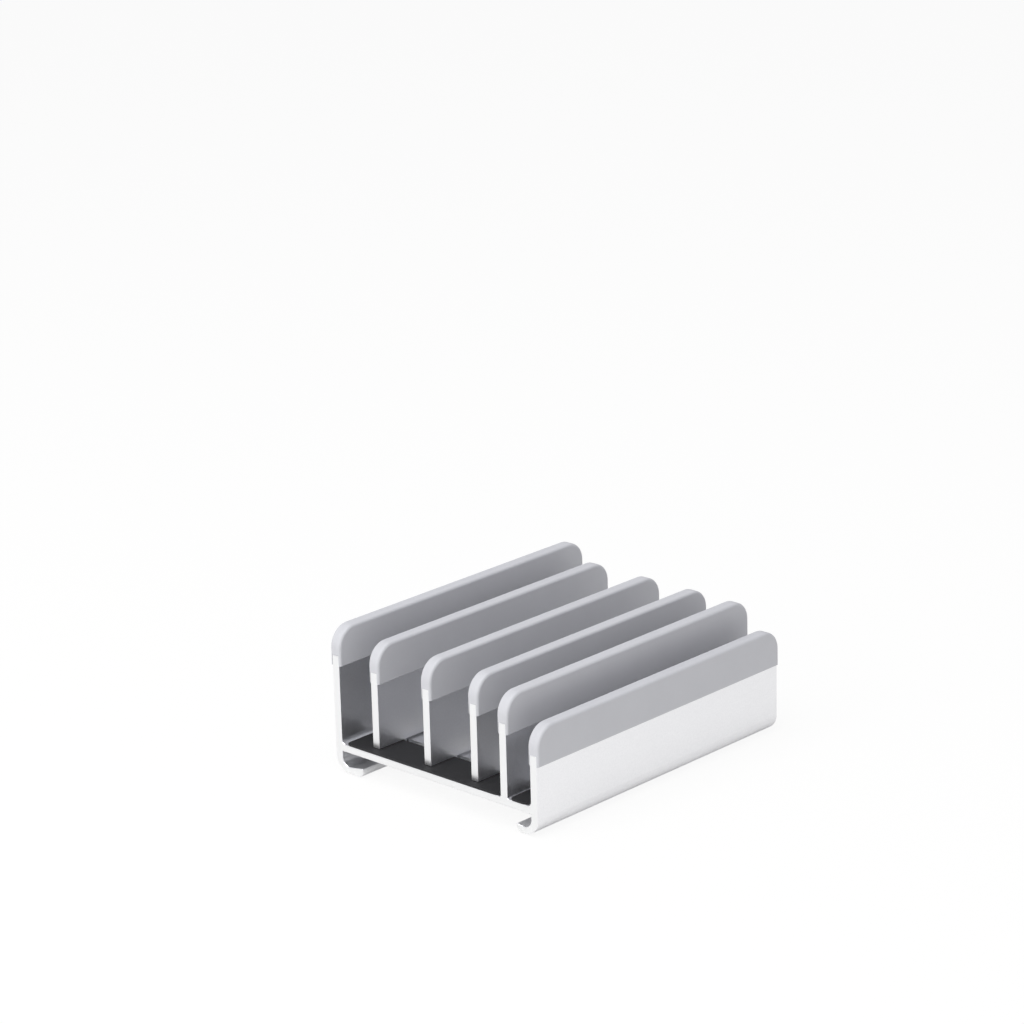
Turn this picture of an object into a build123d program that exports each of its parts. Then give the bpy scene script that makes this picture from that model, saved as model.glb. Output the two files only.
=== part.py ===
from build123d import *
import os

os.makedirs("parts", exist_ok=True)

# Desktop stand that holds several phones and tablets upright while they charge:
# an extruded aluminium tray with three plates of its own, three dividers that
# slide between them, and a silicone cap over the top edge of every plate.
# Frame: X along the stand, front wall at -Y, Z up, origin under the middle.
# All sizes are in millimetres.

# Driving dimensions: the tray.
length = 165.0
plate_thickness = 4.0
floor_thickness = 3.6
floor_clearance = 10.1
wall_fillet = 2.4
fin_fillet = 0.9
edge_chamfer = 0.25

# Clear width of each device slot between plates, from the front.
phone_slot = 14.0
narrow_slot = 17.5
middle_slot = 25.0
wide_slot = 28.5
tablet_slot = 16.0

# Height of each cap's top above the floor of the tray.
front_wall_top = 37.4
fixed_fin_top = 48.0
divider_top = 50.3
back_wall_top = 55.5

# Curled feet.
foot_radius = 8.0
foot_inner_radius = 4.4
foot_root_thickness = 2.5
foot_slope = 0.154
front_foot_reach = 12.8
back_foot_reach = 17.0
foot_tip_radius = 3.0
foot_lip_radius = 0.5

# Silicone caps.
cap_height = 18.0
cap_side = 1.15
cap_top = 1.6
cap_end = 1.5
cap_lip_drop = 5.0
cap_corner_radius = 10.0
cap_rim_radius = 1.3
cap_hem_radius = 0.3

# Black pads at both ends of the floor.
pad_thickness = 0.8
pad_length = 20.0
pad_corner_radius = 2.4
pad_edge_gap = 0.3

# Cable windows in the floor.
window_count = 3
window_width = 10.0
window_pitch = 29.7
window_offset = 2.9
window_end_gap = 3.0
window_radius = 2.0

# Sliding dividers and the screws that hold them.
divider_inset = 4.2
slide_gap = 0.1
stop_gap = 0.5
screw_diameter = 2.5
screw_clearance = 0.2
screw_engagement = 5.0
track_pad_gap = 0.85
head_diameter = 4.7
head_height = 1.4
head_radius = 0.6
socket_size = 1.5
socket_depth = 0.8
washer_diameter = 6.0
washer_thickness = 0.5

# Silicone strips pressed into blind grooves under the feet.
strip_width = 2.0
strip_depth = 1.4
strip_proud = 0.5
strip_tip_gap = 3.0
strip_inset = 6.0

tolerance = 0.01

# Levels above the surface that the stand rests on.
foot_under = strip_proud
floor_under = foot_under + floor_clearance
floor_top = floor_under + floor_thickness
pad_top = floor_top + pad_thickness
divider_under = pad_top + slide_gap
divider_height = divider_top - pad_thickness - slide_gap
divider_length = length - 2 * divider_inset

# Back face of every plate, from the front wall to the back wall.
slots = (phone_slot, narrow_slot, middle_slot, wide_slot, tablet_slot)
depth = sum(slots) + plate_thickness * (len(slots) + 1)
front_face = -depth / 2
back_face = depth / 2
front_wall_back = front_face + plate_thickness
fixed_fin_back = front_wall_back + phone_slot + plate_thickness
front_divider_back = fixed_fin_back + narrow_slot + plate_thickness
middle_divider_back = front_divider_back + middle_slot + plate_thickness
rear_divider_back = middle_divider_back + wide_slot + plate_thickness
tray_back = back_face - plate_thickness

# Tracks for the divider screws, just inside the pads, long enough for the front
# divider to reach the fixed fin and for the rear one to reach the back wall.
track_width = screw_diameter + 2 * screw_clearance
track_x = length / 2 - pad_length - track_pad_gap - track_width / 2
cap_reach = cap_side + stop_gap + cap_side + plate_thickness / 2
track_front = fixed_fin_back + cap_reach - track_width / 2 - screw_clearance
track_back = tray_back - cap_reach + track_width / 2 + screw_clearance
track_length = track_back - track_front
track_y = (track_front + track_back) / 2


def wall_plane(back):
    """Upright plane along the stand, on the back face of a plate."""
    return Plane.XZ.offset(-back)


def rounded_top(width, height, radius):
    """Rectangle standing on the X axis, with its two top corners rounded."""
    with BuildSketch() as outline:
        Rectangle(width, height, align=(Align.CENTER, Align.MIN))
        fillet(outline.vertices().group_by(Axis.Y)[-1], radius)
    return outline.sketch


def plate_outline(width, height):
    """Side view of a plate: full width below, and a narrower tongue inside the cap."""
    shoulder = height - cap_height + cap_lip_drop
    tongue_width = width - 2 * cap_end
    with BuildSketch() as outline:
        Rectangle(width, shoulder, align=(Align.CENTER, Align.MIN))
        add(rounded_top(tongue_width, height - cap_top, cap_corner_radius - cap_end))
    return outline.sketch


def foot_outline(reach):
    """Cross-section of a curled foot that thickens towards its tip, outer corner at the origin."""
    heel, root, toe = (0, 0), (plate_thickness, foot_root_thickness), (reach, 0)
    lip = (reach, foot_root_thickness + foot_slope * (reach - plate_thickness))
    with BuildSketch() as outline:
        Polygon(heel, toe, lip, root, (plate_thickness, floor_clearance), (0, floor_clearance),
                align=None)
        for corner, radius in (
            (heel, foot_radius),
            (root, foot_inner_radius),
            (toe, foot_tip_radius),
            (lip, foot_lip_radius),
        ):
            fillet(outline.vertices().sort_by_distance(corner)[0], radius)
    return outline.sketch


def floor_corners(builder):
    """Edges along the stand where the floor meets a plate, from front to back."""
    level = (floor_top - tolerance, floor_top + tolerance)
    inside = (front_wall_back - tolerance, tray_back + tolerance)
    edges = builder.edges().filter_by(Axis.X).filter_by_position(Axis.Z, *level)
    return edges.filter_by_position(Axis.Y, *inside).sort_by(Axis.Y)


def export(builder, name):
    """Label a finished piece and write its STEP file."""
    builder.part.label = name
    export_step(builder.part, f"parts/{name}.step")


front_foot = foot_outline(front_foot_reach)
back_foot = mirror(foot_outline(back_foot_reach), about=Plane.YZ)
front_strip_y = front_face + front_foot_reach - strip_tip_gap - strip_width / 2
back_strip_y = back_face - back_foot_reach + strip_tip_gap + strip_width / 2
window_length = 2 * track_x - track_width - 2 * window_end_gap
strip_length = length - 2 * strip_inset
first_window_y = fixed_fin_back + window_offset + window_width / 2

# Tray: floor, front wall, fixed fin, back wall and both feet in one extrusion.
with BuildPart() as extruded_tray:
    with BuildSketch(Plane.YZ.offset(-length / 2)):
        with Locations((0, floor_under)):
            Rectangle(depth, floor_thickness, align=(Align.CENTER, Align.MIN))
        with Locations((front_face, foot_under)):
            add(front_foot)
        with Locations((back_face, foot_under)):
            add(back_foot)
    extrude(amount=length)
    for back, top in (
        (front_wall_back, front_wall_top),
        (fixed_fin_back, fixed_fin_top),
        (back_face, back_wall_top),
    ):
        with BuildSketch(wall_plane(back)):
            with Locations((0, floor_top)):
                add(plate_outline(length, top))
        extrude(amount=plate_thickness)
    fin_corners = floor_corners(extruded_tray)[1:3]
    fillet(fin_corners, fin_fillet)
    wall_corners = floor_corners(extruded_tray)
    fillet((wall_corners[0], wall_corners[-1]), wall_fillet)
    # Cable windows, in rows along the floor.
    with BuildSketch(Plane.XY.offset(floor_under)):
        for row in range(window_count):
            with Locations((0, first_window_y + row * window_pitch)):
                RectangleRounded(window_length, window_width, window_radius)
    extrude(amount=floor_thickness, mode=Mode.SUBTRACT)
    # Screw tracks across the floor, beside the pads.
    with BuildSketch(Plane.XY.offset(floor_under)):
        with Locations((-track_x, track_y), (track_x, track_y)):
            SlotOverall(track_length, track_width, rotation=90)
    extrude(amount=floor_thickness, mode=Mode.SUBTRACT)
    # Blind grooves for the anti-slip strips.
    with BuildSketch(Plane.XY.offset(foot_under)):
        with Locations((0, front_strip_y), (0, back_strip_y)):
            Rectangle(strip_length, strip_width)
    extrude(amount=strip_depth, mode=Mode.SUBTRACT)
    ends = extruded_tray.faces().filter_by(Axis.X).sort_by(Axis.X)
    chamfer(ends[0].edges() + ends[-1].edges(), edge_chamfer)
export(extruded_tray, "extruded_tray")


def make_cap(name, width, back, height, base):
    """Silicone cap pushed down over one plate, open below and flush at its ends."""
    with BuildPart() as cap:
        with BuildSketch(wall_plane(back + cap_side)):
            with Locations((0, base + height - cap_height)):
                add(rounded_top(width, cap_height, cap_corner_radius))
        extrude(amount=plate_thickness + 2 * cap_side)
        sides = cap.faces().filter_by(Axis.Y).sort_by(Axis.Y)
        rims = sides[0].edges() + sides[-1].edges()
        hems = rims.group_by(Axis.Z)[0]
        fillet(rims - hems, cap_rim_radius)
        hems = cap.faces().filter_by(Axis.Z).sort_by(Axis.Z)[0].edges().filter_by(Axis.X)
        fillet(hems, cap_hem_radius)
        with BuildSketch(wall_plane(back)):
            with Locations((0, base)):
                add(plate_outline(width, height))
        extrude(amount=plate_thickness, mode=Mode.SUBTRACT)
    export(cap, name)


def make_divider(name, back):
    """Divider plate with a tapped hole for a screw near both ends."""
    middle = back - plate_thickness / 2
    with BuildPart() as divider:
        with BuildSketch(wall_plane(back)):
            with Locations((0, divider_under)):
                add(plate_outline(divider_length, divider_height))
        extrude(amount=plate_thickness)
        underside = divider.faces().filter_by(Axis.Z).sort_by(Axis.Z)[0]
        uprights = divider.edges().filter_by(Axis.Z)
        chamfer(underside.edges() + uprights.group_by(Axis.X)[0] + uprights.group_by(Axis.X)[-1],
                edge_chamfer)
        with BuildSketch(Plane.XY.offset(divider_under)):
            with Locations((-track_x, middle), (track_x, middle)):
                Circle(screw_diameter / 2)
        extrude(amount=screw_engagement, mode=Mode.SUBTRACT)
    export(divider, name)


def make_screws(name, back):
    """Two button-head screws that come up through the floor into a divider."""
    middle = back - plate_thickness / 2
    seat = floor_under - slide_gap - washer_thickness
    shank_length = divider_under + screw_engagement - seat
    with BuildPart() as screws:
        for x in (-track_x, track_x):
            with BuildSketch(Plane.XY.offset(seat)):
                with Locations((x, middle)):
                    Circle(screw_diameter / 2)
            extrude(amount=shank_length)
            with BuildSketch(Plane.XY.offset(seat)):
                with Locations((x, middle)):
                    Circle(head_diameter / 2)
            extrude(amount=-head_height)
        heads = screws.edges().filter_by(GeomType.CIRCLE).group_by(Axis.Z)[0]
        fillet(heads, head_radius)
        with BuildSketch(Plane.XY.offset(seat - head_height)):
            with Locations((-track_x, middle), (track_x, middle)):
                RegularPolygon(socket_size / 2, 6, major_radius=False)
        extrude(amount=socket_depth, mode=Mode.SUBTRACT)
    export(screws, name)


def make_washers(name, back):
    """Two flat washers that bridge the screw tracks from below."""
    middle = back - plate_thickness / 2
    with BuildPart() as washers:
        with BuildSketch(Plane.XY.offset(floor_under - slide_gap)):
            with Locations((-track_x, middle), (track_x, middle)):
                Circle(washer_diameter / 2)
                Circle(screw_diameter / 2, mode=Mode.SUBTRACT)
        extrude(amount=-washer_thickness)
    export(washers, name)


def make_pad(name, side, front, back):
    """Thin pad on the floor at one end of the stand."""
    with BuildPart() as pad:
        with BuildSketch(Plane.XY.offset(floor_top)):
            with Locations((side * (length - pad_length) / 2, (front + back) / 2)):
                RectangleRounded(pad_length, back - front, pad_corner_radius)
        extrude(amount=pad_thickness)
    export(pad, name)


def make_strip(name, y):
    """Anti-slip strip that fills the groove of one foot and stands just proud of it."""
    with BuildPart() as strip:
        with BuildSketch():
            with Locations((0, y)):
                Rectangle(strip_length, strip_width)
        extrude(amount=strip_depth + strip_proud)
    export(strip, name)


make_cap("front_wall_cap", length, front_wall_back, front_wall_top, floor_top)
make_cap("fixed_fin_cap", length, fixed_fin_back, fixed_fin_top, floor_top)
make_cap("back_wall_cap", length, back_face, back_wall_top, floor_top)

for position, back in (
    ("front", front_divider_back),
    ("middle", middle_divider_back),
    ("rear", rear_divider_back),
):
    make_divider(f"{position}_divider", back)
    make_cap(f"{position}_divider_cap", divider_length, back, divider_height, divider_under)
    make_screws(f"{position}_divider_screws", back)
    make_washers(f"{position}_divider_washers", back)

phone_pad_front = front_wall_back + wall_fillet + pad_edge_gap
phone_pad_back = fixed_fin_back - plate_thickness - fin_fillet - pad_edge_gap
device_pad_front = fixed_fin_back + fin_fillet + pad_edge_gap
device_pad_back = tray_back - wall_fillet - pad_edge_gap
for hand, side in (("left", -1), ("right", 1)):
    make_pad(f"phone_pad_{hand}", side, phone_pad_front, phone_pad_back)
    make_pad(f"device_pad_{hand}", side, device_pad_front, device_pad_back)

make_strip("front_foot_strip", front_strip_y)
make_strip("back_foot_strip", back_strip_y)
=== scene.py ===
"""Looks of the desktop charging stand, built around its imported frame.

The aluminium tray and dividers keep their own shapes. The silicone caps, the
fasteners and the anti-slip strips are made again here with finer surfaces.
"""

import logging
import math
from dataclasses import dataclass
from enum import Enum
from typing import Optional, Sequence, Union

import bpy
from mathutils import Matrix, Vector


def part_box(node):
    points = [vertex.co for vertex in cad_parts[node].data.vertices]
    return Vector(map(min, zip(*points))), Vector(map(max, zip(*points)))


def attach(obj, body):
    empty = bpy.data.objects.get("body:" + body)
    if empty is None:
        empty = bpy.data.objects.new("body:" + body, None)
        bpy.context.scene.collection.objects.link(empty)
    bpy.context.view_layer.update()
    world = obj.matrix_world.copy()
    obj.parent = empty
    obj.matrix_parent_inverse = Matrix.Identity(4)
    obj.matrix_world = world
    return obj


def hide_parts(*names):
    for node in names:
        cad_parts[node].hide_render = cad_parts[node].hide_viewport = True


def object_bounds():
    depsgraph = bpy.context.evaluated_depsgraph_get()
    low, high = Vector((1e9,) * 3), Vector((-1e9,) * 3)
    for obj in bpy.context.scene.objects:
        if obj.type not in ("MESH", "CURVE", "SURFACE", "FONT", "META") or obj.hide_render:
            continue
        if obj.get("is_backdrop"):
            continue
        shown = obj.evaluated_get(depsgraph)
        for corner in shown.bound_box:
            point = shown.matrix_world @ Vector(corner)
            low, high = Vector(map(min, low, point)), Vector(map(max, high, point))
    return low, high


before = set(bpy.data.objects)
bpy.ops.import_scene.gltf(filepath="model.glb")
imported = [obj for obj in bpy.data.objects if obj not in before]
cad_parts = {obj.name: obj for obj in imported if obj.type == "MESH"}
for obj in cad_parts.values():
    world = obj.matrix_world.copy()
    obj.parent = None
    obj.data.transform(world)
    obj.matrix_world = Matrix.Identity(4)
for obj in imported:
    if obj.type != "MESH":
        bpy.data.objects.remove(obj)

log = logging.getLogger("charging_stand")

MM = 0.001  # metres in a millimetre
WELD = 1e-7  # metres within which two points are one
FAR = 1.0  # metres, beyond every side of the stand
MEAN = 0.5  # the middle of a noise
ORIGIN = (0.0, 0.0, 0.0)
QUARTER_TURN = (math.pi / 2, 0.0, 0.0)


class Body(str, Enum):
    """The bodies of the frame that pieces ride on."""

    TRAY = "tray"
    FRONT = "front_divider_body"
    MIDDLE = "middle_divider_body"
    REAR = "rear_divider_body"


class Slot(str, Enum):
    """Names of two material slots of the frame; the new pieces here don't use them."""

    SILICONE = "grey_silicone"
    STEEL = "steel"


class Value(str, Enum):
    """Kinds of input that a geometry rule may have."""

    LENGTH = "NodeSocketFloat"
    COUNT = "NodeSocketInt"
    PLACE = "NodeSocketVector"
    FINISH = "NodeSocketMaterial"


Colour = tuple[float, float, float]
Number = Union["Wire", float, int]


class Wire:
    """An output socket that can be used in Python arithmetic."""

    def __init__(self, graph: "Graph", socket: bpy.types.NodeSocket) -> None:
        """Wrap one socket.

        Args:
            graph: The graph that new nodes are added to.
            socket: The output socket.
        """
        self.graph = graph
        self.socket = socket

    def __add__(self, other: Number) -> "Wire":
        """This plus a number."""
        return self.graph.math("ADD", self, other)

    def __radd__(self, other: Number) -> "Wire":
        """A number plus this."""
        return self.graph.math("ADD", other, self)

    def __sub__(self, other: Number) -> "Wire":
        """This less a number."""
        return self.graph.math("SUBTRACT", self, other)

    def __rsub__(self, other: Number) -> "Wire":
        """A number less this."""
        return self.graph.math("SUBTRACT", other, self)

    def __mul__(self, other: Number) -> "Wire":
        """This times a number."""
        return self.graph.math("MULTIPLY", self, other)

    def __rmul__(self, other: Number) -> "Wire":
        """A number times this."""
        return self.graph.math("MULTIPLY", other, self)

    def __truediv__(self, other: Number) -> "Wire":
        """This over a number."""
        return self.graph.math("DIVIDE", self, other)

    def __rtruediv__(self, other: Number) -> "Wire":
        """A number over this."""
        return self.graph.math("DIVIDE", other, self)

    def __lt__(self, other: Number) -> "Wire":
        """One where this is below a number, and otherwise nought."""
        return self.graph.math("LESS_THAN", self, other)

    def __gt__(self, other: Number) -> "Wire":
        """One where this is above a number, and otherwise nought."""
        return self.graph.math("GREATER_THAN", self, other)

    def __abs__(self) -> "Wire":
        """This without its sign."""
        return self.graph.math("ABSOLUTE", self)

    def root(self) -> "Wire":
        """The square root of this, or nought where it is negative."""
        return self.graph.math("SQRT", self.graph.math("MAXIMUM", self, 0.0))

    def clipped(self) -> "Wire":
        """This, held between nought and one."""
        return self.graph.math("MINIMUM", self.graph.math("MAXIMUM", self, 0.0), 1.0)


class Graph:
    """Adds nodes to one shader or geometry tree."""

    def __init__(self, tree: bpy.types.NodeTree) -> None:
        """Take over a tree.

        Args:
            tree: The tree that the nodes go into.
        """
        self.tree = tree

    @staticmethod
    def _socket(sockets: Sequence[bpy.types.NodeSocket], key: str) -> bpy.types.NodeSocket:
        """Find a socket by its identifier or by its name.

        Args:
            sockets: A node's inputs or outputs.
            key: The identifier, or the name of an enabled socket.

        Returns:
            The socket.
        """
        for socket in sockets:
            if socket.identifier == key:
                return socket
        for socket in sockets:
            if socket.name == key and socket.enabled:
                return socket
        raise KeyError(f"no socket {key}: {[s.name for s in sockets]}")

    def add(
        self,
        kind: str,
        settings: Optional[dict] = None,
        inputs: Optional[dict] = None,
    ) -> bpy.types.Node:
        """Add one node.

        Args:
            kind: The node's type.
            settings: Its own settings, set first.
            inputs: Values or wires for its sockets, by name or identifier.

        Returns:
            The node.
        """
        node = self.tree.nodes.new(kind)
        for name, value in (settings or {}).items():
            setattr(node, name, value)
        for name, value in (inputs or {}).items():
            self.feed(self._socket(node.inputs, name), value)
        return node

    def feed(self, socket: bpy.types.NodeSocket, value: object) -> None:
        """Give a socket its value, its wire or its list of wires.

        Args:
            socket: The input socket.
            value: A wire, a list of wires for a socket that joins them, or a value.
        """
        if isinstance(value, list):
            for wire in reversed(value):
                self.tree.links.new(wire.socket, socket)
        elif isinstance(value, Wire):
            self.tree.links.new(value.socket, socket)
        elif socket.type == "RGBA" and len(value) == 3:
            socket.default_value = (*value, 1.0)
        else:
            socket.default_value = value

    def out(self, node: bpy.types.Node, name: str) -> Wire:
        """The wire from a node's output.

        Args:
            node: The node.
            name: The output's name or identifier.

        Returns:
            The wire.
        """
        return Wire(self, self._socket(node.outputs, name))

    def math(self, operation: str, first: Number, second: Number = 0.0) -> Wire:
        """One Math node.

        Args:
            operation: What it works out.
            first: Its first number.
            second: Its second number, if it has one.

        Returns:
            The result.
        """
        node = self.add("ShaderNodeMath", {"operation": operation})
        self.feed(node.inputs[0], first)
        self.feed(node.inputs[1], second)
        return Wire(self, node.outputs[0])

    def vector(self, operation: str, first: object, second: object = ORIGIN) -> Wire:
        """One Vector Math node with two vectors.

        Args:
            operation: What it works out.
            first: Its first vector.
            second: Its second vector, if it has one.

        Returns:
            The resulting vector.
        """
        node = self.add("ShaderNodeVectorMath", {"operation": operation})
        self.feed(node.inputs[0], first)
        self.feed(node.inputs[1], second)
        return self.out(node, "Vector")

    def xyz(self, x: Number = 0.0, y: Number = 0.0, z: Number = 0.0) -> Wire:
        """A vector from three numbers."""
        node = self.add("ShaderNodeCombineXYZ", None, {"X": x, "Y": y, "Z": z})
        return self.out(node, "Vector")

    def parts(self, vector: Wire) -> tuple[Wire, Wire, Wire]:
        """The three numbers of a vector."""
        node = self.add("ShaderNodeSeparateXYZ", None, {"Vector": vector})
        return self.out(node, "X"), self.out(node, "Y"), self.out(node, "Z")


class Shader(Graph):
    """The nodes of one material, with the textures that the finishes share."""

    def __init__(self, name: str) -> None:
        """Start a material with an empty tree.

        Args:
            name: The material's name.
        """
        self.material = bpy.data.materials.new(name)
        self.material.use_nodes = True
        super().__init__(self.material.node_tree)
        self.tree.nodes.clear()
        self.place = self.out(self.add("ShaderNodeTexCoord"), "Object")

    def noise(
        self,
        size: float,
        detail: float = 2.0,
        stretch: Sequence[float] = (1.0, 1.0, 1.0),
    ) -> Wire:
        """Soft noise from nought to one.

        Args:
            size: The width of its patches in metres.
            detail: How many finer layers it has.
            stretch: How much finer it is along each direction.

        Returns:
            The noise.
        """
        mapped = self.add(
            "ShaderNodeMapping", None, {"Vector": self.place, "Scale": tuple(stretch)}
        )
        node = self.add(
            "ShaderNodeTexNoise",
            None,
            {"Vector": self.out(mapped, "Vector"), "Scale": 1.0 / size, "Detail": detail},
        )
        return self.out(node, "Fac")

    def blend(self, share: Number, first: object, second: object) -> Wire:
        """Mix two colours.

        Args:
            share: How much of the second colour there is.
            first: The first colour.
            second: The second colour.

        Returns:
            The mixed colour.
        """
        node = self.add(
            "ShaderNodeMix",
            {"data_type": "RGBA"},
            {"Factor_Float": share, "A_Color": first, "B_Color": second},
        )
        return self.out(node, "Result_Color")

    def relief(
        self, height: Wire, depth: float, strength: float, under: Optional[Wire] = None
    ) -> Wire:
        """Turn a height into a normal.

        Args:
            height: The height, from nought to one.
            depth: What a height of one stands for, in metres.
            strength: How much of it shows.
            under: A normal that this one lies on.

        Returns:
            The normal.
        """
        inputs = {"Height": height, "Distance": depth, "Strength": strength}
        if under is not None:
            inputs["Normal"] = under
        return self.out(self.add("ShaderNodeBump", None, inputs), "Normal")

    def finish(self, inputs: dict) -> bpy.types.Material:
        """Close the material with its surface.

        Args:
            inputs: Values or wires for the sockets of the surface.

        Returns:
            The material.
        """
        surface = self.add("ShaderNodeBsdfPrincipled", None, inputs)
        self.add("ShaderNodeOutputMaterial", None, {"Surface": self.out(surface, "BSDF")})
        return self.material


@dataclass(frozen=True)
class BlastedAluminium:
    """Anodised aluminium, fine-blasted after extrusion and cut square at its ends."""

    name: str = "blasted_aluminium"
    light: Colour = (0.922, 0.925, 0.943)
    dark: Colour = (0.832, 0.835, 0.856)
    cut: Colour = (0.862, 0.868, 0.876)
    roughness: float = 0.37
    grain: float = 0.35 * MM
    grain_depth: float = 0.012 * MM
    grit: float = 0.7 * MM
    patch: float = 22 * MM
    draw_line: float = 0.6 * MM
    tool_mark: float = 0.25 * MM
    drawn_stretch: tuple[float, float, float] = (0.01, 1.0, 1.0)
    mark_stretch: tuple[float, float, float] = (1.0, 0.04, 1.0)
    end_facing: float = 0.9
    patch_tint: float = 0.4
    drawn_tint: float = 0.2
    grit_tint: float = 1.2
    tint_offset: float = 0.4
    patch_swing: float = 0.10
    drawn_swing: float = 0.06
    grain_swing: float = 0.12
    cut_polish: float = 0.05
    mark_height: float = 0.6
    drawn_height: float = 0.25
    relief_strength: float = 0.6

    def material(self) -> bpy.types.Material:
        """Build the material."""
        s = Shader(self.name)
        grain = s.noise(self.grain, detail=3.0)
        grit = s.noise(self.grit, detail=2.0)
        patch = s.noise(self.patch, detail=3.0)
        drawn = s.noise(self.draw_line, detail=1.0, stretch=self.drawn_stretch)
        marks = s.noise(self.tool_mark, detail=1.0, stretch=self.mark_stretch)
        turned, _, _ = s.parts(s.out(s.add("ShaderNodeNewGeometry"), "Normal"))
        cut = abs(turned) > self.end_facing
        tint = patch * self.patch_tint + drawn * self.drawn_tint + grit * self.grit_tint
        colour = s.blend((tint - self.tint_offset).clipped(), self.dark, self.light)
        colour = s.blend(cut, colour, self.cut)
        roughness = self.roughness + (patch - MEAN) * self.patch_swing
        roughness = roughness + (drawn - MEAN) * self.drawn_swing
        roughness = roughness + (grain - MEAN) * self.grain_swing
        roughness = roughness - cut * self.cut_polish
        height = grain * (1 - cut) + marks * cut * self.mark_height
        height = height + drawn * (1 - cut) * self.drawn_height
        return s.finish(
            {
                "Base Color": colour,
                "Metallic": 1.0,
                "Roughness": roughness.clipped(),
                "Normal": s.relief(height, self.grain_depth, self.relief_strength),
            }
        )


@dataclass(frozen=True)
class SatinSilicone:
    """Soft grey silicone with a satin skin and, on a cap, a faint mould line."""

    name: str = "satin_silicone"
    light: Colour = (0.552, 0.556, 0.580)
    dark: Colour = (0.510, 0.514, 0.538)
    roughness: float = 0.52
    skin: float = 0.28 * MM
    skin_depth: float = 0.02 * MM
    cloud: float = 14 * MM
    dust_colour: Colour = (0.74, 0.745, 0.76)
    dust_size: float = 0.9 * MM
    dust_level: float = 0.66
    dust_gain: float = 6.0
    dust_share: float = 0.25
    cloud_swing: float = 0.12
    skin_swing: float = 0.08
    dust_swing: float = 0.08
    skin_strength: float = 0.5
    specular: float = 0.35
    mould_line: float = 0.0
    line_height: float = 0.08 * MM
    line_strength: float = 0.8
    line_swing: float = 0.05
    across: str = "across"

    def material(self) -> bpy.types.Material:
        """Build the material."""
        s = Shader(self.name)
        skin = s.noise(self.skin, detail=3.0)
        cloud = s.noise(self.cloud, detail=4.0)
        specks = s.noise(self.dust_size, detail=2.0)
        dust = ((specks - self.dust_level) * self.dust_gain).clipped()
        colour = s.blend(cloud, self.dark, self.light)
        colour = s.blend(dust * self.dust_share, colour, self.dust_colour)
        normal = s.relief(skin, self.skin_depth, self.skin_strength)
        roughness = self.roughness + (cloud - MEAN) * self.cloud_swing
        roughness = roughness + (skin - MEAN) * self.skin_swing + dust * self.dust_swing
        if self.mould_line:
            across = s.out(
                s.add("ShaderNodeAttribute", {"attribute_name": self.across}), "Fac"
            )
            line = (1 - abs(across) / self.mould_line).clipped()
            normal = s.relief(line, self.line_height, self.line_strength, normal)
            roughness = roughness + line * self.line_swing
        return s.finish(
            {
                "Base Color": colour,
                "Roughness": roughness.clipped(),
                "Specular IOR Level": self.specular,
                "Normal": normal,
            }
        )


@dataclass(frozen=True)
class PebbledPad:
    """Matt black pad with a fine pebbled face, with painted shade in the hollows between pebbles.
    """

    name: str = "pebbled_pad"
    light: Colour = (0.024, 0.024, 0.026)
    dark: Colour = (0.012, 0.012, 0.013)
    roughness: float = 0.62
    pebble: float = 0.45 * MM
    pebble_depth: float = 0.04 * MM
    patch: float = 9 * MM
    fine_ratio: float = 0.4
    patch_tint: float = 0.7
    # share of painted shade: darker in the hollows between pebbles, following their height
    pebble_hollow_shade: float = 0.3
    patch_swing: float = 0.15
    fine_swing: float = 0.1
    fine_height: float = 0.3
    relief_strength: float = 0.5
    specular: float = 0.3

    def material(self) -> bpy.types.Material:
        """Build the material."""
        s = Shader(self.name)
        cells = s.add(
            "ShaderNodeTexVoronoi",
            {"feature": "SMOOTH_F1"},
            {"Vector": s.place, "Scale": 1.0 / self.pebble},
        )
        pebble = 1 - s.out(cells, "Distance")
        patch = s.noise(self.patch, detail=4.0)
        fine = s.noise(self.pebble * self.fine_ratio, detail=2.0)
        # random patches of tone, plus painted shade that darkens the hollows between pebbles
        tint = (patch * self.patch_tint + pebble * self.pebble_hollow_shade).clipped()
        colour = s.blend(tint, self.dark, self.light)
        roughness = self.roughness + (patch - MEAN) * self.patch_swing
        roughness = roughness + (fine - MEAN) * self.fine_swing
        height = pebble + fine * self.fine_height
        return s.finish(
            {
                "Base Color": colour,
                "Roughness": roughness.clipped(),
                "Specular IOR Level": self.specular,
                "Normal": s.relief(height, self.pebble_depth, self.relief_strength),
            }
        )


@dataclass(frozen=True)
class ZincSteel:
    """Zinc-plated steel with faint blue-grey clouds and tool marks."""

    name: str = "zinc_steel"
    light: Colour = (0.74, 0.75, 0.77)
    dark: Colour = (0.56, 0.58, 0.62)
    roughness: float = 0.28
    cloud: float = 1.6 * MM
    mark: float = 0.12 * MM
    mark_depth: float = 0.006 * MM
    mark_strength: float = 0.5
    mark_stretch: tuple[float, float, float] = (1.0, 0.2, 1.0)
    cloud_swing: float = 0.16
    mark_swing: float = 0.1

    def material(self) -> bpy.types.Material:
        """Build the material."""
        s = Shader(self.name)
        cloud = s.noise(self.cloud, detail=3.0)
        mark = s.noise(self.mark, detail=2.0, stretch=self.mark_stretch)
        roughness = self.roughness + (cloud - MEAN) * self.cloud_swing
        roughness = roughness + (mark - MEAN) * self.mark_swing
        return s.finish(
            {
                "Base Color": s.blend(cloud, self.dark, self.light),
                "Metallic": 1.0,
                "Roughness": roughness.clipped(),
                "Normal": s.relief(mark, self.mark_depth, self.mark_strength),
            }
        )


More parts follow.
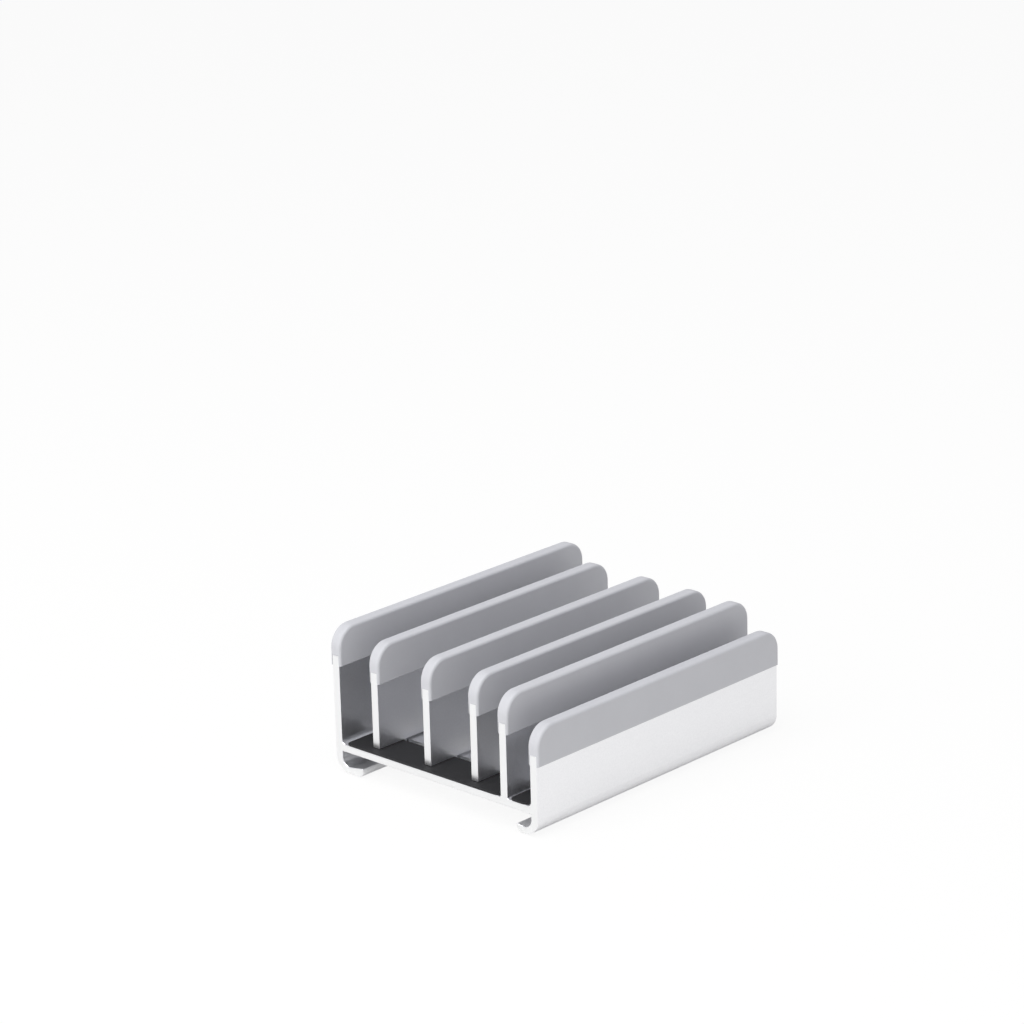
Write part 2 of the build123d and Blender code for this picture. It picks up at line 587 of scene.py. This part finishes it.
class Rule(Graph):
    """A geometry tree with named sizes, which makes one plain mesh for each set of them."""

    def __init__(self, name: str, values: dict[str, Value]) -> None:
        """Start a tree with its inputs.

        Args:
            name: The tree's name.
            values: The name and kind of every input.
        """
        super().__init__(bpy.data.node_groups.new(name, "GeometryNodeTree"))
        face = self.tree.interface
        kinds = {**values, "Place": Value.PLACE, "Finish": Value.FINISH}
        self.keys = {
            label: face.new_socket(label, in_out="INPUT", socket_type=kind.value).identifier
            for label, kind in kinds.items()
        }
        face.new_socket("Geometry", in_out="OUTPUT", socket_type="NodeSocketGeometry")
        self.source = self.add("NodeGroupInput")

    def size(self, label: str) -> Wire:
        """One named input of the tree."""
        return self.out(self.source, self.keys[label])

    def moved(self, geometry: Wire, shift: object, turn: object = ORIGIN) -> Wire:
        """Turn a shape and then move it.

        Args:
            geometry: The shape.
            shift: How far it moves.
            turn: How far it turns about each axis.

        Returns:
            The moved shape.
        """
        node = self.add(
            "GeometryNodeTransform",
            None,
            {"Geometry": geometry, "Translation": shift, "Rotation": turn},
        )
        return self.out(node, "Geometry")

    def joined(self, *shapes: Wire) -> Wire:
        """Several shapes as one, with the points that meet welded together."""
        join = self.add("GeometryNodeJoinGeometry", None, {"Geometry": list(shapes)})
        weld = self.add(
            "GeometryNodeMergeByDistance",
            None,
            {"Geometry": self.out(join, "Geometry"), "Distance": WELD},
        )
        return self.out(weld, "Geometry")

    def less(self, shape: Wire, *cutters: Wire) -> Wire:
        """A shape with others cut out of it."""
        for cutter in cutters:
            node = self.add(
                "GeometryNodeMeshBoolean",
                {"operation": "DIFFERENCE", "solver": "EXACT"},
                {"Mesh 1": shape, "Mesh 2": cutter},
            )
            shape = self.out(node, "Mesh")
        return shape

    def close(self, shape: Wire) -> None:
        """End the tree: put the shape in its place, realise it and give it its finish.

        Args:
            shape: The finished shape, about its own origin.
        """
        placed = self.moved(shape, self.size("Place"))
        real = self.add("GeometryNodeRealizeInstances", None, {"Geometry": placed})
        dressed = self.add(
            "GeometryNodeSetMaterial",
            None,
            {"Geometry": self.out(real, "Geometry"), "Material": self.size("Finish")},
        )
        self.add("NodeGroupOutput", None, {"Geometry": self.out(dressed, "Geometry")})

    def make(self, name: str, sizes: dict[str, object], smooth: float = 38.0) -> bpy.types.Object:
        """Run the tree once and keep the result as a plain mesh.

        Args:
            name: The new piece's name.
            sizes: The value of every input.
            smooth: The angle in degrees above which an edge stays sharp.

        Returns:
            The piece, at the origin.
        """
        blank = bpy.data.objects.new(name + "_rule", bpy.data.meshes.new(name + "_rule"))
        bpy.context.scene.collection.objects.link(blank)
        modifier = blank.modifiers.new("rule", "NODES")
        modifier.node_group = self.tree
        for label, value in sizes.items():
            modifier[self.keys[label]] = value
        graph = bpy.context.evaluated_depsgraph_get()
        mesh = bpy.data.meshes.new_from_object(blank.evaluated_get(graph), depsgraph=graph)
        mesh.name = name
        blank.modifiers.clear()
        bpy.data.objects.remove(blank)
        mesh.shade_smooth()
        mesh.set_sharp_from_angle(angle=math.radians(smooth))
        piece = bpy.data.objects.new(name, mesh)
        bpy.context.scene.collection.objects.link(piece)
        return piece


def middle(node: str) -> Vector:
    """The middle of a frame node's box."""
    low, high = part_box(node)
    return (low + high) / 2


def install(piece: bpy.types.Object, body: Body, node: str) -> None:
    """Put a piece on its body in place of a frame node.

    Args:
        piece: The finished piece.
        body: The body that it rides on.
        node: The frame node that it stands for.
    """
    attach(piece, body.value)
    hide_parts(node)
    log.info("%s: %d faces on %s", piece.name, len(piece.data.polygons), body.value)


def dress(node: str, material: bpy.types.Material) -> None:
    """Give a frame node its finish.

    Args:
        node: The frame node.
        material: The finish.
    """
    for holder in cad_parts[node].material_slots:
        holder.material = material
    log.info("%s: dressed in %s", node, material.name)


class Position(str, Enum):
    """The three sliding dividers, from the front."""

    FRONT = "front"
    MIDDLE = "middle"
    REAR = "rear"

    @property
    def body(self) -> Body:
        """The body that this divider's pieces ride on."""
        return Body[self.name]


@dataclass
class SiliconeCaps:
    """Caps pushed down over the top edges of the plates, all drawn by one rule."""

    height: float = 18.0 * MM
    side: float = 1.15 * MM
    top: float = 1.6 * MM
    end: float = 1.5 * MM
    lip_drop: float = 5.0 * MM
    corner: float = 10.0 * MM
    rim: float = 1.3 * MM
    hem: float = 0.3 * MM
    margin: float = 0.4 * MM
    overrun: float = 1.0 * MM
    corner_steps: int = 18
    rim_steps: int = 7
    finish: SatinSilicone = SatinSilicone("cap_silicone", mould_line=0.16 * MM)
    tray_nodes: tuple[str, ...] = ("front_wall_cap", "fixed_fin_cap", "back_wall_cap")

    def outline(self, rule: Rule, width: Wire, height: Wire, corner: Wire) -> Wire:
        """Filled outline with its two upper corners rounded, standing on the X axis.

        Args:
            rule: The tree.
            width: The outline's width.
            height: Its height.
            corner: The radius of its upper corners.

        Returns:
            The flat face.
        """
        frame_curve = rule.add(
            "GeometryNodeCurvePrimitiveQuadrilateral", None, {"Width": width, "Height": height}
        )
        _, level, _ = rule.parts(rule.out(rule.add("GeometryNodeInputPosition"), "Position"))
        rounded = rule.add(
            "GeometryNodeFilletCurve",
            {"mode": "POLY"},
            {
                "Curve": rule.out(frame_curve, "Curve"),
                "Count": self.corner_steps,
                "Radius": (level > 0.0) * corner,
            },
        )
        curve = rule.out(rounded, "Curve")
        face = rule.add("GeometryNodeFillCurve", {"mode": "NGONS"}, {"Curve": curve})
        return rule.moved(rule.out(face, "Mesh"), rule.xyz(0.0, height / 2))

    def raised(
        self, rule: Rule, shape: Wire, rise: Number, chosen: Union[Wire, bool] = True
    ) -> tuple[Wire, Wire]:
        """Push a face outwards.

        Args:
            rule: The tree.
            shape: The shape with the face.
            rise: How far it goes.
            chosen: Which of the shape's faces it is.

        Returns:
            The shape, and which of its faces is the pushed one.
        """
        node = rule.add(
            "GeometryNodeExtrudeMesh",
            {"mode": "FACES"},
            {"Mesh": shape, "Selection": chosen, "Offset Scale": rise, "Individual": False},
        )
        return rule.out(node, "Mesh"), rule.out(node, "Top")

    def half_blank(self, rule: Rule) -> Wire:
        """One half of the solid blank, from its middle plane to its rounded rim.

        Args:
            rule: The tree.

        Returns:
            The half, open at the middle plane.
        """
        length, height = rule.size("Length"), rule.size("Height")
        corner = rule.size("Corner Radius")
        rim, hem = rule.size("Rim Radius"), rule.size("Hem Radius")
        thick = rule.size("Plate Thickness") / 2 + rule.size("Side")
        face = self.outline(rule, length, height, corner)
        place = rule.out(rule.add("GeometryNodeInputPosition"), "Position")
        kept = rule.add("GeometryNodeCaptureAttribute", {"domain": "POINT"})
        kept.capture_items.new("VECTOR", "Base")
        rule.feed(kept.inputs["Geometry"], face)
        rule.feed(kept.inputs["Base"], place)
        base = rule.out(kept, "Base")
        shape = rule.out(kept, "Geometry")
        reach = length / 2 - corner
        core = rule.vector("MAXIMUM", base, rule.xyz(0 - reach, -FAR, -FAR))
        core = rule.vector("MINIMUM", core, rule.xyz(reach, height - corner, FAR))
        inward_x, inward_y, _ = rule.parts(
            rule.vector("NORMALIZE", rule.vector("SUBTRACT", core, base))
        )
        base_x, base_y, _ = rule.parts(base)
        foot = base_y < WELD
        front: Union[Wire, bool] = True
        for step in range(self.rim_steps + 2):
            angle = math.pi / 2 * min(step / self.rim_steps, 1.0)
            depth = rim * (1 - math.sin(angle))
            inset = rim * (1 - math.cos(angle))
            bite = rule.math("MAXIMUM", hem - depth, 0.0)
            lift = hem - (hem * hem - bite * bite).root()
            if step > self.rim_steps:
                inset = inset + self.margin
                lift = lift + self.margin
            shape, front = self.raised(rule, shape, rim if step else thick, front)
            spot = rule.xyz(
                base_x + inward_x * inset,
                base_y + inward_y * inset + foot * lift,
                thick - depth,
            )
            moved = rule.add(
                "GeometryNodeSetPosition",
                None,
                {"Geometry": shape, "Selection": front, "Position": spot},
            )
            shape = rule.out(moved, "Geometry")
        return shape

    def plug(self, rule: Rule) -> Wire:
        """The plate's tongue, which the cap is hollowed out for.

        Args:
            rule: The tree.

        Returns:
            The closed tongue.
        """
        end = rule.size("End")
        thick = rule.size("Plate Thickness")
        face = self.outline(
            rule,
            rule.size("Length") - end * 2,
            rule.size("Height") - rule.size("Top") + self.overrun,
            rule.size("Corner Radius") - end,
        )
        face = rule.moved(face, rule.xyz(0.0, -self.overrun, 0 - thick / 2))
        body, _ = self.raised(rule, face, thick)
        back = rule.out(rule.add("GeometryNodeFlipFaces", None, {"Mesh": face}), "Mesh")
        return rule.joined(body, back)

    def rule(self) -> Rule:
        """The tree that draws a cap."""
        labels = (
            "Length", "Height", "Plate Thickness", "Side", "Top", "End",
            "Lip Drop", "Corner Radius", "Rim Radius", "Hem Radius",
        )
        rule = Rule("silicone_cap", {label: Value.LENGTH for label in labels})
        front = self.half_blank(rule)
        mirrored = rule.add(
            "GeometryNodeTransform", None, {"Geometry": front, "Scale": (1.0, 1.0, -1.0)}
        )
        back = rule.add("GeometryNodeFlipFaces", None, {"Mesh": rule.out(mirrored, "Geometry")})
        blank = rule.joined(front, rule.out(back, "Mesh"))
        lip = rule.size("Lip Drop")
        slot_size = rule.xyz(
            rule.size("Length") + self.overrun * 2, lip + self.overrun, rule.size("Plate Thickness")
        )
        block = rule.add("GeometryNodeMeshCube", None, {"Size": slot_size})
        slot = rule.moved(rule.out(block, "Mesh"), rule.xyz(0.0, (lip - self.overrun) / 2))
        cap = rule.less(blank, self.plug(rule), slot)
        _, _, across = rule.parts(rule.out(rule.add("GeometryNodeInputPosition"), "Position"))
        marked = rule.add(
            "GeometryNodeStoreNamedAttribute",
            {"data_type": "FLOAT", "domain": "POINT"},
            {"Geometry": cap, "Name": self.finish.across, "Value": across},
        )
        rule.close(rule.moved(rule.out(marked, "Geometry"), ORIGIN, QUARTER_TURN))
        return rule

    def build(self) -> None:
        """Make every cap and put it on its plate."""
        rule = self.rule()
        finish = self.finish.material()
        places = [(node, Body.TRAY) for node in self.tray_nodes]
        places += [(f"{p.value}_divider_cap", p.body) for p in Position]
        for node, body in places:
            low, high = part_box(node)
            cap = rule.make(
                f"{node}_silicone",
                {
                    "Length": high.x - low.x,
                    "Height": self.height,
                    "Plate Thickness": high.y - low.y - 2 * self.side,
                    "Side": self.side,
                    "Top": self.top,
                    "End": self.end,
                    "Lip Drop": self.lip_drop,
                    "Corner Radius": self.corner,
                    "Rim Radius": self.rim,
                    "Hem Radius": self.hem,
                    "Place": ((low.x + high.x) / 2, (low.y + high.y) / 2, low.z),
                    "Finish": finish,
                },
            )
            install(cap, body, node)


@dataclass
class Fasteners:
    """Button-head screws and washers that hold the dividers from below."""

    screw: float = 2.5 * MM
    core: float = 2.1 * MM
    pitch: float = 0.45 * MM
    head_height: float = 1.4 * MM
    head_radius: float = 0.6 * MM
    socket: float = 1.5 * MM
    socket_depth: float = 0.8 * MM
    washer_edge: float = 0.08 * MM
    round_steps: int = 48
    shoulder_steps: int = 5
    coil_steps: int = 20
    edge_steps: int = 3
    ridge_sides: int = 4
    socket_sides: int = 6
    finish: ZincSteel = ZincSteel()

    def pair(self, rule: Rule, item: Wire) -> Wire:
        """The same item at both ends of a divider.

        Args:
            rule: The tree.
            item: What is repeated.

        Returns:
            The two instances.
        """
        spread = rule.size("Spread")
        ends = rule.add(
            "GeometryNodeMeshLine",
            {"mode": "END_POINTS"},
            {"Count": 2, "Start Location": rule.xyz(0 - spread), "Offset": rule.xyz(spread)},
        )
        placed = rule.add(
            "GeometryNodeInstanceOnPoints",
            None,
            {"Points": rule.out(ends, "Mesh"), "Instance": item},
        )
        return rule.out(placed, "Instances")

    def turned(self, rule: Rule, outline: list[tuple[Number, Number]]) -> Wire:
        """A solid turned about the Z axis.

        Args:
            rule: The tree.
            outline: Radius and level of each ring, from the lowest up.

        Returns:
            The closed solid.
        """
        bands = []
        for (low_r, low_z), (high_r, high_z) in zip(outline, outline[1:]):
            cone = rule.add(
                "GeometryNodeMeshCone",
                {"fill_type": "NONE"},
                {
                    "Vertices": self.round_steps,
                    "Radius Bottom": low_r,
                    "Radius Top": high_r,
                    "Depth": high_z - low_z,
                },
            )
            bands.append(rule.moved(rule.out(cone, "Mesh"), rule.xyz(0.0, 0.0, low_z)))
        for (radius, level), flip in ((outline[0], True), (outline[-1], False)):
            disc = rule.add(
                "GeometryNodeMeshCircle",
                {"fill_type": "NGON"},
                {"Vertices": self.round_steps, "Radius": radius},
            )
            cover = rule.moved(rule.out(disc, "Mesh"), rule.xyz(0.0, 0.0, level))
            if flip:
                cover = rule.out(rule.add("GeometryNodeFlipFaces", None, {"Mesh": cover}), "Mesh")
            bands.append(cover)
        return rule.joined(*bands)

    def screw_rule(self) -> Rule:
        """The tree that draws a pair of screws, heads down, from the seat at z = 0."""
        labels = (
            "Spread", "Shank Length", "Head Diameter", "Head Height", "Shoulder Radius",
            "Core Diameter", "Thread Diameter", "Thread Pitch", "Socket Size", "Socket Depth",
        )
        rule = Rule("screw_pair", {label: Value.LENGTH for label in labels})
        head, high = rule.size("Head Diameter") / 2, rule.size("Head Height")
        shoulder = rule.size("Shoulder Radius")
        shank, core = rule.size("Shank Length"), rule.size("Core Diameter") / 2
        outline: list[tuple[Number, Number]] = []
        for step in range(self.shoulder_steps + 1):
            angle = math.pi / 2 * step / self.shoulder_steps
            outline.append(
                (
                    head - shoulder * (1 - math.sin(angle)),
                    shoulder * (1 - math.cos(angle)) - high,
                )
            )
        outline.append((head, 0.0))
        solid_head = self.turned(rule, outline)
        hexagon = rule.add(
            "GeometryNodeMeshCylinder",
            None,
            {
                "Vertices": self.socket_sides,
                "Radius": rule.size("Socket Size") / math.sqrt(3.0),
                "Depth": rule.size("Socket Depth") * 2,
            },
        )
        socket = rule.moved(rule.out(hexagon, "Mesh"), rule.xyz(0.0, 0.0, 0 - high))
        pin = rule.add(
            "GeometryNodeMeshCylinder",
            None,
            {"Vertices": self.round_steps, "Radius": core, "Depth": shank},
        )
        pin_place = rule.moved(rule.out(pin, "Mesh"), rule.xyz(0.0, 0.0, shank / 2))
        pitch, crest = rule.size("Thread Pitch"), rule.size("Thread Diameter") / 2
        depth = crest - core
        threaded = shank - pitch * 2
        coil = rule.add(
            "GeometryNodeCurveSpiral",
            None,
            {
                "Resolution": self.coil_steps,
                "Rotations": threaded / pitch,
                "Start Radius": core,
                "End Radius": core,
                "Height": threaded,
            },
        )
        ridge = rule.add(
            "GeometryNodeCurvePrimitiveCircle",
            None,
            {"Resolution": self.ridge_sides, "Radius": depth},
        )
        thread = rule.add(
            "GeometryNodeCurveToMesh",
            None,
            {
                "Curve": rule.out(coil, "Curve"),
                "Profile Curve": rule.out(ridge, "Curve"),
                "Fill Caps": True,
            },
        )
        thread_place = rule.moved(rule.out(thread, "Mesh"), rule.xyz(0.0, 0.0, pitch))
        whole = rule.add(
            "GeometryNodeJoinGeometry",
            None,
            {"Geometry": [rule.less(solid_head, socket), pin_place, thread_place]},
        )
        rule.close(self.pair(rule, rule.out(whole, "Geometry")))
        return rule

    def washer_rule(self) -> Rule:
        """The tree that draws a pair of washers about z = 0."""
        labels = ("Spread", "Bore", "Diameter", "Thickness", "Edge Radius")
        rule = Rule("washer_pair", {label: Value.LENGTH for label in labels})
        outer, bore = rule.size("Diameter") / 2, rule.size("Bore") / 2
        path = rule.add(
            "GeometryNodeCurvePrimitiveCircle",
            None,
            {"Resolution": self.round_steps, "Radius": (outer + bore) / 2},
        )
        section = rule.add(
            "GeometryNodeCurvePrimitiveQuadrilateral",
            None,
            {"Width": outer - bore, "Height": rule.size("Thickness")},
        )
        soft = rule.add(
            "GeometryNodeFilletCurve",
            {"mode": "POLY"},
            {
                "Curve": rule.out(section, "Curve"),
                "Count": self.edge_steps,
                "Radius": rule.size("Edge Radius"),
            },
        )
        ring = rule.add(
            "GeometryNodeCurveToMesh",
            None,
            {"Curve": rule.out(path, "Curve"), "Profile Curve": rule.out(soft, "Curve")},
        )
        rule.close(self.pair(rule, rule.out(ring, "Mesh")))
        return rule

    def build(self) -> None:
        """Make the screws and washers of every divider."""
        screws, washers = self.screw_rule(), self.washer_rule()
        finish = self.finish.material()
        for position in Position:
            node = f"{position.value}_divider_screws"
            low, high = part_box(node)
            head = high.y - low.y
            seat = low.z + self.head_height
            spread = high.x - head / 2
            centre = (0.0, (low.y + high.y) / 2, seat)
            piece = screws.make(
                f"{position.value}_screw_pair",
                {
                    "Spread": spread,
                    "Shank Length": high.z - seat,
                    "Head Diameter": head,
                    "Head Height": self.head_height,
                    "Shoulder Radius": self.head_radius,
                    "Core Diameter": self.core,
                    "Thread Diameter": self.screw,
                    "Thread Pitch": self.pitch,
                    "Socket Size": self.socket,
                    "Socket Depth": self.socket_depth,
                    "Place": centre,
                    "Finish": finish,
                },
            )
            install(piece, position.body, node)
            node = f"{position.value}_divider_washers"
            low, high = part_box(node)
            piece = washers.make(
                f"{position.value}_washer_pair",
                {
                    "Spread": spread,
                    "Bore": self.screw,
                    "Diameter": 2 * (high.x - spread),
                    "Thickness": high.z - low.z,
                    "Edge Radius": self.washer_edge,
                    "Place": tuple(middle(node)),
                    "Finish": finish,
                },
            )
            install(piece, position.body, node)


@dataclass
class FootStrips:
    """Ribbed silicone strips in the grooves under both feet."""

    proud: float = 0.5 * MM
    rib_pitch: float = 1.5 * MM
    rib_sides: int = 16
    finish: SatinSilicone = SatinSilicone("strip_silicone", roughness=0.6)
    nodes: tuple[str, ...] = ("front_foot_strip", "back_foot_strip")

    def rule(self) -> Rule:
        """The tree that draws a strip, resting on z = 0."""
        labels = {label: Value.LENGTH for label in ("Length", "Width", "Height", "Rib Height")}
        rule = Rule("ribbed_strip", {**labels, "Ribs": Value.COUNT})
        length, width, height = rule.size("Length"), rule.size("Width"), rule.size("Height")
        rib, ribs = rule.size("Rib Height"), rule.size("Ribs")
        block = rule.add(
            "GeometryNodeMeshCube", None, {"Size": rule.xyz(length, width, height - rib)}
        )
        bar = rule.moved(rule.out(block, "Mesh"), rule.xyz(0.0, 0.0, (height + rib) / 2))
        step = length / ribs
        line = rule.add(
            "GeometryNodeMeshLine",
            {"mode": "OFFSET"},
            {
                "Count": ribs,
                "Start Location": rule.xyz((step - length) / 2, 0.0, rib),
                "Offset": rule.xyz(step),
            },
        )
        roller = rule.add(
            "GeometryNodeMeshCylinder",
            None,
            {"Vertices": self.rib_sides, "Radius": rib, "Depth": width},
        )
        lying = rule.moved(rule.out(roller, "Mesh"), ORIGIN, QUARTER_TURN)
        placed = rule.add(
            "GeometryNodeInstanceOnPoints",
            None,
            {"Points": rule.out(line, "Mesh"), "Instance": lying},
        )
        whole = rule.add(
            "GeometryNodeJoinGeometry", None, {"Geometry": [bar, rule.out(placed, "Instances")]}
        )
        rule.close(rule.out(whole, "Geometry"))
        return rule

    def build(self) -> None:
        """Make both strips."""
        rule = self.rule()
        finish = self.finish.material()
        for node in self.nodes:
            low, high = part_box(node)
            strip = rule.make(
                f"{node}_ribbed",
                {
                    "Length": high.x - low.x,
                    "Width": high.y - low.y,
                    "Height": high.z - low.z,
                    "Rib Height": self.proud,
                    "Ribs": round((high.x - low.x) / self.rib_pitch),
                    "Place": ((low.x + high.x) / 2, (low.y + high.y) / 2, low.z),
                    "Finish": finish,
                },
            )
            install(strip, Body.TRAY, node)


@dataclass
class MetalWork:
    """The extruded tray and the three dividers, which keep their own shapes."""

    finish: BlastedAluminium = BlastedAluminium()

    def build(self) -> None:
        """Dress the tray and the dividers."""
        material = self.finish.material()
        dress("extruded_tray", material)
        for position in Position:
            dress(f"{position.value}_divider", material)


@dataclass
class FloorPads:
    """The black pads at both ends of the floor."""

    finish: PebbledPad = PebbledPad()
    nodes: tuple[str, ...] = ("phone_pad", "device_pad")

    def build(self) -> None:
        """Dress the pads."""
        material = self.finish.material()
        for node in self.nodes:
            for hand in ("left", "right"):
                dress(f"{node}_{hand}", material)


@dataclass(frozen=True)
class ViewingAngle:
    """Where the camera stands and which way it looks."""

    place: tuple[float, float, float] = (-1.12527, -1.03813, 0.61182)
    yaw: float = 0.8132887
    pitch: float = 0.3128326
    roll: float = 0.0263018
    lens: float = 125.04
    sensor: float = 36.0
    nearest: float = 0.05
    farthest: float = 50.0

    def build(self) -> None:
        """Make the camera and look through it."""
        data = bpy.data.cameras.new("camera")
        data.lens, data.sensor_width = self.lens, self.sensor
        data.clip_start, data.clip_end = self.nearest, self.farthest
        camera = bpy.data.objects.new("camera", data)
        ahead = Vector(
            (
                math.sin(self.yaw) * math.cos(self.pitch),
                math.cos(self.yaw) * math.cos(self.pitch),
                -math.sin(self.pitch),
            )
        )
        right = ahead.cross(Vector((0.0, 0.0, 1.0))).normalized()
        down = ahead.cross(right)
        tilt_right = right * math.cos(self.roll) + down * math.sin(self.roll)
        tilt_down = down * math.cos(self.roll) - right * math.sin(self.roll)
        turn = Matrix((tilt_right, -tilt_down, -ahead)).transposed().to_4x4()
        camera.matrix_world = Matrix.Translation(self.place) @ turn
        bpy.context.scene.collection.objects.link(camera)
        bpy.context.scene.camera = camera


@dataclass(frozen=True)
class Softbox:
    """One large rectangular light aimed at the stand."""

    name: str
    place: tuple[float, float, float]
    size: tuple[float, float]
    power: float

    def build(self) -> None:
        """Make the light."""
        data = bpy.data.lights.new(self.name, "AREA")
        data.shape = "RECTANGLE"
        data.size, data.size_y = self.size
        data.energy = self.power
        lamp = bpy.data.objects.new(self.name, data)
        lamp.location = self.place
        lamp.rotation_euler = (-Vector(self.place)).to_track_quat("-Z", "Y").to_euler()
        bpy.context.scene.collection.objects.link(lamp)


@dataclass
class Studio:
    """Plain pale floor, even sky and soft lights."""

    sky: float = 0.56
    sky_colour: Colour = (0.985, 0.985, 1.025)
    floor_colour: Colour = (0.856, 0.852, 0.830)
    floor_glow: float = 1.0
    floor_fill: float = 0.14
    floor_plain: float = 0.76
    floor_size: float = 14.0
    lights: tuple[Softbox, ...] = (
        Softbox("overhead", (-0.7, -0.1, 1.6), (1.6, 1.6), 22.0),
        Softbox("side", (-1.7, 0.3, 0.75), (1.2, 1.2), 9.6),
    )

    def floor(self) -> None:
        """Lay the floor."""
        half = self.floor_size / 2
        mesh = bpy.data.meshes.new("floor")
        corners = [(-half, -half, 0.0), (half, -half, 0.0), (half, half, 0.0), (-half, half, 0.0)]
        mesh.from_pydata(corners, [], [(0, 1, 2, 3)])
        s = Shader("floor")
        matt = s.add("ShaderNodeBsdfDiffuse", None, {"Color": self.floor_colour})
        glow = s.add("ShaderNodeEmission", None, {"Strength": self.floor_glow})
        seen = s.out(s.add("ShaderNodeLightPath"), "Is Camera Ray")
        shared = s.add(
            "ShaderNodeMixShader",
            None,
            {
                "Fac": seen * self.floor_plain + self.floor_fill,
                "Shader": s.out(matt, "BSDF"),
                "Shader_001": s.out(glow, "Emission"),
            },
        )
        s.add("ShaderNodeOutputMaterial", None, {"Surface": s.out(shared, "Shader")})
        mesh.materials.append(s.material)
        floor = bpy.data.objects.new("floor", mesh)
        bpy.context.scene.collection.objects.link(floor)
        floor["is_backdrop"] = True

    def build(self) -> None:
        """Make the sky, the floor and the lights."""
        scene = bpy.context.scene
        scene.view_settings.view_transform = "Standard"
        world = bpy.data.worlds.new("sky")
        world.use_nodes = True
        background = world.node_tree.nodes["Background"].inputs
        background["Color"].default_value = (*self.sky_colour, 1.0)
        background["Strength"].default_value = self.sky
        scene.world = world
        self.floor()
        for light in self.lights:
            light.build()


def corners() -> list[list[float]]:
    """The whole object's box as plain numbers."""
    return [[float(value) for value in corner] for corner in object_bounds()]


def main() -> None:
    """Build the camera, the studio and every sub-assembly of the stand."""
    logging.basicConfig(level=logging.INFO, format="%(name)s: %(message)s")
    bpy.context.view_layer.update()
    for part in (ViewingAngle(), Studio(), MetalWork(), SiliconeCaps(), FloorPads(),
                 Fasteners(), FootStrips()):
        part.build()
        log.info("%s done", type(part).__name__)


if __name__ == "__main__":
    main()
